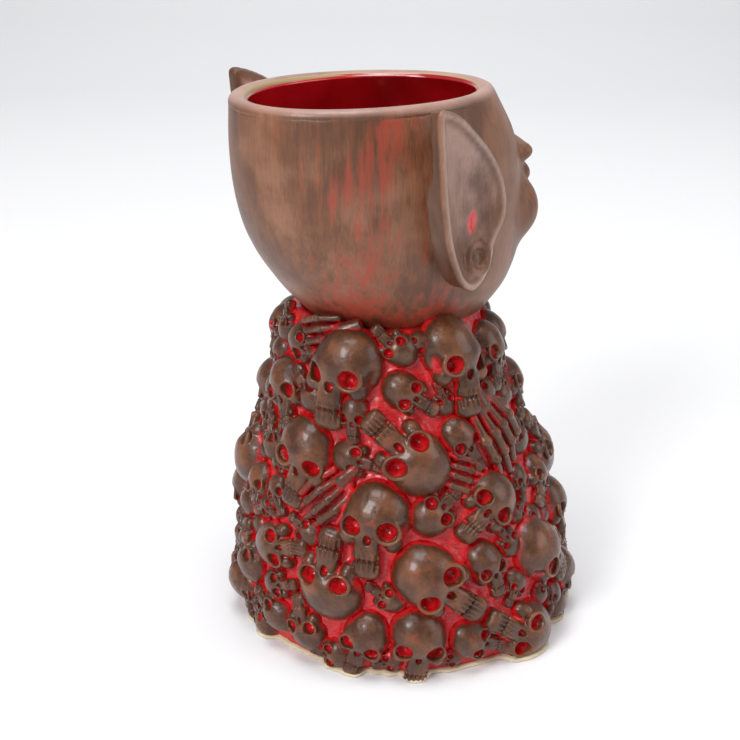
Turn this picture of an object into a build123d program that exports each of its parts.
"""Tiki mug: an open, pointed-eared head standing on a cone of piled skulls and hand bones.

Frame: +Z up, origin at the centre of the foot on the ground, the face looks towards -Y.
Lengths are millimetres. Angles are degrees round +Z from +X, so 90 is the back of the mug.
Pieces are listed from the ground up: foot, cone, sprigged relief, neck, head, face, ears.
"""
import os
from math import cos, radians, sin

from build123d import *

os.makedirs("parts", exist_ok=True)

# ---------------------------------------------------------------- driving sizes
MUG_HEIGHT = 190.0
CONE_HEIGHT = 114.0
NECK_HEIGHT = 4.0
LIP_HEIGHT = 3.0
LIP_ROUNDING = 1.6
BASE_RADIUS = 60.0
NECK_LEAN = 10.0
CLAY_WALL = 5.5
GLAZE_SKIN = 0.6
FOOT_THICKNESS = 4.0
GROUND_GAP = 0.8

# cone outline: share of the cone height, share of the base radius
CONE_OUTLINE = ((0.0, 1.0), (0.26, 0.96), (0.5, 0.83), (0.75, 0.68), (1.0, 0.55))

HEAD_WIDTH = 83.0
HEAD_LENGTH = 101.0
# head sections: share of the head height, of its width, of its length, centre set back
HEAD_SECTIONS = (
    (0.0, 0.76, 0.68, 7.0),
    (0.04, 0.82, 0.745, 5.5),
    (0.1, 0.87, 0.81, 4.5),
    (0.18, 0.92, 0.875, 5.8),
    (0.28, 0.96, 0.93, 8.0),
    (0.4, 0.985, 0.975, 10.0),
    (0.52, 1.0, 1.0, 11.5),
    (0.66, 0.99, 1.005, 13.2),
    (0.78, 0.96, 0.99, 15.0),
    (0.9, 0.925, 0.945, 17.4),
    (1.0, 0.885, 0.885, 20.0),
)

EAR_HEIGHT = 58.0
EAR_WIDTH = 38.0
EAR_THICKNESS = 5.0
EAR_ROLL = 2.4
EAR_SET_FORWARD = 4.0
# from the rim down to the middle of the ear
EAR_DROP = 33.0
EAR_SPLAY = 14.5
EAR_ROOT_DEPTH = 10.0

# heights and lengths of the relief are given for a cone this high and grow with the real one
RELIEF_CONE_HEIGHT = 114.0
# big skulls: angle round the cone, height, crown-to-chin length, roll (0 = crown up)
BIG_SKULLS = (
    (120, 101, 34, 6),
    (174, 104, 33, 7),
    (145, 78, 33, 133),
    (99, 71, 31, 12),
    (133, 53, 33, 6),
    (153, 34, 34, -47),
    (144, 12, 27, 9),
    (117, 36, 32, -175),
    (198, 31, 33, -32),
    (182, 11, 31, 127),
    (176, 56, 28, 55),
    (231, 62, 31, 150),
)
# small skulls by tier, the same four numbers each
SMALL_SKULLS = {
    "top": ((145, 113, 16, 135), (150, 96, 19, -52), (99, 95, 18, 132), (92, 109, 18, -78),
            (205, 102, 24, 25), (228, 104, 22, -40), (82, 90, 24, -21)),
    "upper": ((125, 75, 17, -78), (172, 78, 19, -20), (76, 72, 16, 150), (228, 84, 24, 35),
              (208, 74, 18, 160), (156, 59, 19, -124), (74, 53, 19, -27)),
    "lower": ((95, 40, 24, -106), (105, 49, 14, 112), (171, 36, 20, -11), (212, 54, 19, 43),
              (75, 29, 23, 161), (222, 38, 26, 15), (135, 31, 13, 120), (89, 56, 13, -33)),
    "bottom": ((165, 11, 20, -66), (127, 12, 24, 20), (106, 15, 20, 166), (90, 14, 19, 112),
               (203, 11, 15, 41), (220, 13, 24, -30), (242, 14, 26, 100), (72, 10, 18, -15)),
}
# hands: angle, height, wrist-to-fingertip length, roll (0 = fingertips up)
HANDS = (
    (113, 62, 24, -137),
    (171, 68, 20, -62),
    (105, 111, 22, -110),
    (190, 80, 30, 161),
)
HALF_TURNS = (0, 180)
# small skulls are softened by the glaze, so only longer ones keep cheeks and a nose hole
FULL_DETAIL_LENGTH = 24.5
# shares of a piece's length tried in turn when two surfaces only graze each other
NUDGES = (0.0, 0.02, -0.02, 0.04, -0.04)
# a seated piece keeps at least this share of its volume, and its mesh is nearly as large
LEAST_SHARE = 0.22
MESH_SHARE = 0.08
MESH_TOLERANCE = 0.1
MESH_ANGLE = 0.4

CONE_TOP = CONE_HEIGHT
RELIEF_GROWTH = CONE_HEIGHT / RELIEF_CONE_HEIGHT
EAR_MIDDLE_HEIGHT = MUG_HEIGHT - EAR_DROP
HEAD_BOTTOM = CONE_HEIGHT + NECK_HEIGHT
HEAD_TOP = MUG_HEIGHT - LIP_HEIGHT
HEAD_HEIGHT = HEAD_TOP - HEAD_BOTTOM
REACH = 2 * MUG_HEIGHT


def cone_radius(height):
    """Outside radius of the clay cone at a height, straight between outline points."""
    share = min(max(height / CONE_HEIGHT, 0.0), 1.0)
    for (low, wide), (high, narrow) in zip(CONE_OUTLINE, CONE_OUTLINE[1:]):
        if share <= high:
            part = (share - low) / (high - low)
            return BASE_RADIUS * (wide + part * (narrow - wide))
    return BASE_RADIUS * CONE_OUTLINE[-1][1]


def cone_centre(height):
    """How far the cone's centre has moved to the back at a height."""
    return NECK_LEAN * height / CONE_HEIGHT


def cone_solid(low, inset):
    """Leaning cone from a height up to the neck, taken in all round by an inset."""
    heights = [low] + [share * CONE_HEIGHT for share, _ in CONE_OUTLINE if share * CONE_HEIGHT > low]
    with BuildPart() as cone:
        for height in heights:
            with BuildSketch(Plane.XY.offset(height)):
                with Locations((0, cone_centre(height))):
                    Circle(cone_radius(height) - inset)
        loft(ruled=True)
    return cone.part


def head_section(index, inset):
    """Ellipse of one head section: half width, half length and centre."""
    _, width, length, back = HEAD_SECTIONS[index]
    return HEAD_WIDTH / 2 * width - inset, HEAD_LENGTH / 2 * length - inset, back


def head_solid(inset):
    """The head without face or ears, from the neck to the lip, taken in by an inset."""
    with BuildPart() as head:
        for index, section in enumerate(HEAD_SECTIONS):
            half_width, half_length, back = head_section(index, inset)
            with BuildSketch(Plane.XY.offset(HEAD_BOTTOM + section[0] * HEAD_HEIGHT)):
                with Locations((0, back)):
                    Ellipse(half_width, half_length)
        loft(ruled=True)
    return head.part


def neck_solid(inset):
    """Short collar that turns the round cone top into the oval head bottom."""
    half_width, half_length, back = head_section(0, inset)
    with BuildPart() as neck:
        with BuildSketch(Plane.XY.offset(CONE_TOP)):
            with Locations((0, cone_centre(CONE_TOP))):
                Circle(cone_radius(CONE_TOP) - inset)
        with BuildSketch(Plane.XY.offset(HEAD_BOTTOM)):
            with Locations((0, back)):
                Ellipse(half_width, half_length)
        loft()
    return neck.part


def lip_solid(inset, extra):
    """Straight band of the rim opening, a little taller than the lip by the extra."""
    half_width, half_length, back = head_section(-1, inset)
    with BuildPart() as band:
        with BuildSketch(Plane.XY.offset(HEAD_TOP)):
            with Locations((0, back)):
                Ellipse(half_width, half_length)
        extrude(amount=LIP_HEIGHT + extra)
    return band.part


def ellipsoid(half_x, half_y, half_z):
    """Ball stretched to three half sizes."""
    return scale(Sphere(1), by=(half_x, half_y, half_z))


def save(part, name):
    """Label a finished piece and write its file."""
    part.label = name
    export_step(part, f"parts/{name}.step")


def seat_on_cone(angle, height, roll):
    """Seat on the cone: X round the cone, Y up its slope, Z straight out, then rolled."""
    step = 1.0
    across = cos(radians(angle))
    back = sin(radians(angle))
    slope = (cone_radius(height + step) - cone_radius(height - step)) / (2 * step)
    slope += back * NECK_LEAN / CONE_HEIGHT
    radius = cone_radius(height)
    spot = (radius * across, cone_centre(height) + radius * back, height)
    seat = Plane(origin=spot, x_dir=(-back, across, 0), z_dir=(across, back, -slope))
    return seat.location * Rot(0, 0, -roll)


def skull_block(length):
    """Solid outline of a skull: cranium, face taper and narrow jaw, half sunk in the clay."""
    taper = Cone(0.23 * length, 0.15 * length, 0.42 * length)
    jaw = Cone(0.16 * length, 0.125 * length, 0.3 * length)
    block = Pos(0, 0.18 * length, -0.1 * length) * Sphere(0.32 * length)
    block += Pos(0, -0.1 * length, -0.06 * length) * Rot(90, 0, 0) * taper
    block += Pos(0, -0.34 * length, 0.01 * length) * Rot(90, 0, 0) * jaw
    return block


def skull_form(length):
    """Finished skull: round eye sockets, nose hole and a line of teeth cut in the block."""
    form = skull_block(length)
    cheek = Sphere(0.075 * length)
    socket = Cylinder(0.08 * length, 0.3 * length)
    nose = Cone(0.045 * length, 0.02 * length, 0.09 * length)
    gap = Box(0.3 * length, 0.02 * length, 0.1 * length)
    form -= Pos(0, -0.3 * length, 0.17 * length) * gap
    if length > FULL_DETAIL_LENGTH:
        for side in (-1, 1):
            form += Pos(side * 0.17 * length, -0.08 * length, 0.06 * length) * cheek
        form -= Pos(0, -0.11 * length, 0.13 * length) * Rot(-90, 0, 0) * nose
    for side in (-1, 1):
        form -= Pos(side * 0.115 * length, 0.02 * length, 0.23 * length) * socket
    return form


def hand_form(length):
    """Bony hand: wrist, palm block, four knuckled fingers, half sunk in the clay."""
    finger_radius = 0.052 * length
    finger_spacing = 2.5 * finger_radius
    finger = Cylinder(finger_radius, 0.5 * length)
    knuckle = Sphere(1.18 * finger_radius)
    wrist = Cylinder(0.11 * length, 0.35 * length)
    form = Pos(0, -0.15 * length, -0.02 * length) * Box(0.5 * length, 0.3 * length, 0.2 * length)
    form += Pos(0, -0.36 * length, -0.01 * length) * Rot(90, 0, 0) * wrist
    for place in (-1.5, -0.5, 0.5, 1.5):
        across = finger_spacing * place
        form += Pos(across, 0.21 * length, 0.03 * length) * Rot(90, 0, 0) * finger
        form += Pos(across, 0.22 * length, 0.035 * length) * knuckle
    return form


def biggest(shape):
    """The largest solid of a shape, so a trim leaves no loose crumbs."""
    return shape.solids().sort_by(SortBy.VOLUME)[-1]


def can_mesh(solid):
    """True if a solid's faces close into a mesh with nearly its volume; a broken face raises."""
    try:
        points, triangles = solid.tessellate(MESH_TOLERANCE, MESH_ANGLE)
    except AttributeError:
        return False
    total = 0.0
    for first, second, third in triangles:
        total += points[first].dot(points[second].cross(points[third])) / 6
    return abs(total - solid.volume) < MESH_SHARE * solid.volume


cone_core = cone_solid(0.0, 0.0)
neck_core = neck_solid(0.0)
head_core = head_solid(0.0)
ground = Pos(0, 0, GROUND_GAP - REACH / 2) * Box(REACH, REACH, REACH)
placed = []
shapes = {}


def shape_of(maker, length):
    """One relief shape per kind and length, made once and used for every copy."""
    if (maker, length) not in shapes:
        shapes[maker, length] = maker(length)
    return shapes[maker, length]


def sprig(form_maker, block_maker, spot, half_turn):
    """Seat a relief piece on the cone and trim it by the mug and by earlier neighbours."""
    angle, height, length, roll = spot
    height *= RELIEF_GROWTH
    length *= RELIEF_GROWTH
    form = shape_of(form_maker, length)
    block = shape_of(block_maker, length)
    for nudge in NUDGES:
        seat = seat_on_cone(angle + half_turn, height + nudge * length, roll)
        piece = seat * form - cone_core
        middle = seat.position
        if len(piece.solids()) != 1 or piece.volume < LEAST_SHARE * form.volume:
            continue
        cutters = [ground]
        if height + length > CONE_HEIGHT:
            cutters += [neck_core, head_core]
        for other, other_middle, other_length in placed:
            if (middle - other_middle).length < 0.5 * (length + other_length):
                cutters.append(other)
        piece = biggest(piece - cutters)
        if can_mesh(piece):
            break
    placed.append((seat * block, middle, length))
    return piece


# ---------------------------------------------------------------- foot and cone
cone_outside = cone_solid(FOOT_THICKNESS, 0.0)
cone_inside = cone_solid(FOOT_THICKNESS, CLAY_WALL)
cone_hollow = cone_solid(FOOT_THICKNESS + GLAZE_SKIN, CLAY_WALL + GLAZE_SKIN)

with BuildPart() as foot_disc:
    Cylinder(BASE_RADIUS, FOOT_THICKNESS, align=(Align.CENTER, Align.CENTER, Align.MIN))
save(foot_disc.part, "foot_disc")

with BuildPart() as cone_wall:
    add(cone_outside)
    add(cone_inside, mode=Mode.SUBTRACT)
save(cone_wall.part, "cone_wall")

with BuildPart() as cone_glaze:
    add(cone_inside)
    add(cone_hollow, mode=Mode.SUBTRACT)
save(cone_glaze.part, "cone_glaze")

# ---------------------------------------------------------------- sprigged relief
for number, spot in enumerate(BIG_SKULLS, start=1):
    for side, half_turn in zip(("a", "b"), HALF_TURNS):
        skull_piece = sprig(skull_form, skull_block, spot, half_turn)
        with BuildPart() as big_skull:
            add(skull_piece)
        save(big_skull.part, f"skull_{number}{side}")

for number, spot in enumerate(HANDS, start=1):
    for side, half_turn in zip(("a", "b"), HALF_TURNS):
        hand_piece = sprig(hand_form, hand_form, spot, half_turn)
        with BuildPart() as hand:
            add(hand_piece)
        save(hand.part, f"hand_{number}{side}")

for tier, spots in SMALL_SKULLS.items():
    for side, half_turn in zip(("a", "b"), HALF_TURNS):
        skull_pieces = [sprig(skull_form, skull_block, spot, half_turn) for spot in spots]
        with BuildPart() as small_skulls:
            add(skull_pieces)
        save(small_skulls.part, f"small_skulls_{tier}_{side}")

# ---------------------------------------------------------------- neck, head and lip
neck_inside = neck_solid(CLAY_WALL)
neck_hollow = neck_solid(CLAY_WALL + GLAZE_SKIN)
head_inside = head_solid(CLAY_WALL)
head_hollow = head_solid(CLAY_WALL + GLAZE_SKIN)
lip_outside = lip_solid(0.0, 0.0)
lip_inside = lip_solid(CLAY_WALL, LIP_HEIGHT)

with BuildPart() as neck_collar:
    add(neck_core)
    add(neck_inside, mode=Mode.SUBTRACT)
save(neck_collar.part, "neck_collar")

with BuildPart() as head_bowl:
    add(head_core)
    add(head_inside, mode=Mode.SUBTRACT)
save(head_bowl.part, "head_bowl")

with BuildPart() as head_glaze:
    add(neck_inside)
    add(head_inside)
    add(neck_hollow, mode=Mode.SUBTRACT)
    add(head_hollow, mode=Mode.SUBTRACT)
save(head_glaze.part, "head_glaze")

with BuildPart() as rim_lip:
    add(lip_outside)
    add(lip_inside, mode=Mode.SUBTRACT)
    fillet(rim_lip.edges().group_by(Axis.Z)[-1], LIP_ROUNDING)
save(rim_lip.part, "rim_lip")

# ---------------------------------------------------------------- calm face
# the eyes sit at mid height of the head and the nose and mouth at plain thirds below them
FACE_FRONT = 12.0 - HEAD_LENGTH / 2
EYE_HEIGHT = HEAD_BOTTOM + 0.58 * HEAD_HEIGHT
EYE_SIDE = 0.18 * HEAD_WIDTH
NOSE_HEIGHT = HEAD_BOTTOM + 0.39 * HEAD_HEIGHT
MOUTH_HEIGHT = HEAD_BOTTOM + 0.24 * HEAD_HEIGHT
CHIN_HEIGHT = HEAD_BOTTOM + 0.09 * HEAD_HEIGHT

nose_bridge = ellipsoid(4.5, 6, 0.17 * HEAD_HEIGHT)
nose_form = Pos(0, FACE_FRONT - 1, (EYE_HEIGHT + NOSE_HEIGHT) / 2 + 2) * Rot(-18, 0, 0) * nose_bridge
nose_form += Pos(0, FACE_FRONT - 5, NOSE_HEIGHT) * ellipsoid(5, 5.5, 4.5)
for side in (-1, 1):
    nose_form += Pos(side * 5, FACE_FRONT - 2, NOSE_HEIGHT - 0.5) * ellipsoid(4, 4.5, 3.5)
nose_piece = biggest(nose_form - head_core)

brow_form = Pos(0, FACE_FRONT + 5, EYE_HEIGHT + 8) * ellipsoid(0.3 * HEAD_WIDTH, 9, 3.5)
brow_piece = biggest(brow_form - [head_core, nose_piece])

eye_pieces = {}
for side, name in ((-1, "eye_right"), (1, "eye_left")):
    eye_form = Pos(side * EYE_SIDE, FACE_FRONT + 5, EYE_HEIGHT) * ellipsoid(8, 6, 4)
    eye_pieces[name] = biggest(eye_form - [head_core, nose_piece, brow_piece])

mouth_form = Pos(0, FACE_FRONT + 3, MOUTH_HEIGHT + 1.5) * ellipsoid(11, 5.5, 2.2)
mouth_form += Pos(0, FACE_FRONT + 3, MOUTH_HEIGHT - 1.5) * ellipsoid(10, 5.5, 2.6)
mouth_piece = biggest(mouth_form - [head_core, nose_piece])

chin_form = Pos(0, FACE_FRONT + 8, CHIN_HEIGHT) * ellipsoid(12, 8, 6)
front_relief = [block for block, middle, length in placed
                if middle.Z + length > CONE_HEIGHT and middle.Y < 0]
chin_piece = biggest(chin_form - [head_core, neck_core, mouth_piece, *front_relief])

with BuildPart() as nose_ridge:
    add(nose_piece)
save(nose_ridge.part, "nose_ridge")

with BuildPart() as brow_ridge:
    add(brow_piece)
save(brow_ridge.part, "brow_ridge")

for name, eye_piece in eye_pieces.items():
    with BuildPart() as eyelid:
        add(eye_piece)
    save(eyelid.part, name)

with BuildPart() as mouth:
    add(mouth_piece)
save(mouth.part, "mouth")

with BuildPart() as chin:
    add(chin_piece)
save(chin.part, "chin")

# ---------------------------------------------------------------- ears
# the leaf is the tight outline of a few discs: tip, upper blade, back edge, lobe and front,
# as shares of the ear's width (back) and height (up) from its front edge, with a radius
EAR_DISCS = ((0.95, 0.54, 2.2), (0.7, 0.28, 6.0), (0.82, 0.06, 6.0), (0.42, -0.25, 9.5), (0.18, -0.04, 7.0))
CURL_SPOT = (0.4 * EAR_WIDTH, -0.24 * EAR_HEIGHT)
EAR_ROOT_SIDE = 6.0 - HEAD_WIDTH / 2
EAR_ROOT_BACK = 0.42 * EAR_WIDTH - EAR_SET_FORWARD
ear_plane = Plane(
    origin=(1.5 - HEAD_WIDTH / 2, -EAR_SET_FORWARD, EAR_MIDDLE_HEIGHT),
    x_dir=(-sin(radians(EAR_SPLAY)), cos(radians(EAR_SPLAY)), 0),
    z_dir=(cos(radians(EAR_SPLAY)), sin(radians(EAR_SPLAY)), 0),
)
root_form = ellipsoid(EAR_ROOT_DEPTH, 0.4 * EAR_WIDTH, 0.4 * EAR_HEIGHT)
ear_root = Pos(EAR_ROOT_SIDE, EAR_ROOT_BACK, EAR_MIDDLE_HEIGHT) * root_form
lip_clearance = lip_solid(0.0, LIP_HEIGHT)

with BuildPart() as ear:
    with BuildSketch(ear_plane):
        for back, up, radius in EAR_DISCS:
            with Locations((EAR_WIDTH * back, EAR_HEIGHT * up)):
                Circle(radius)
        make_hull()
    extrude(amount=-EAR_THICKNESS)
    with BuildSketch(ear_plane.offset(-EAR_THICKNESS)):
        for back, up, radius in EAR_DISCS:
            if radius > 2 * EAR_ROLL:
                with Locations((EAR_WIDTH * back, EAR_HEIGHT * up)):
                    Circle(radius - 1.6 * EAR_ROLL)
        make_hull()
    extrude(amount=0.6 * EAR_THICKNESS, mode=Mode.SUBTRACT)
    with BuildSketch(ear_plane.offset(-0.3 * EAR_THICKNESS)):
        with Locations(CURL_SPOT):
            Circle(2.4 * EAR_ROLL)
            Circle(1.1 * EAR_ROLL, mode=Mode.SUBTRACT)
    extrude(amount=-0.65 * EAR_THICKNESS)
ear_piece = biggest(ear.part + ear_root - [head_core, lip_clearance])
left_ear_piece = ear_piece.mirror(Plane.YZ)

with BuildPart() as ear_right:
    add(ear_piece)
save(ear_right.part, "ear_right")

with BuildPart() as ear_left:
    add(left_ear_piece)
save(ear_left.part, "ear_left")
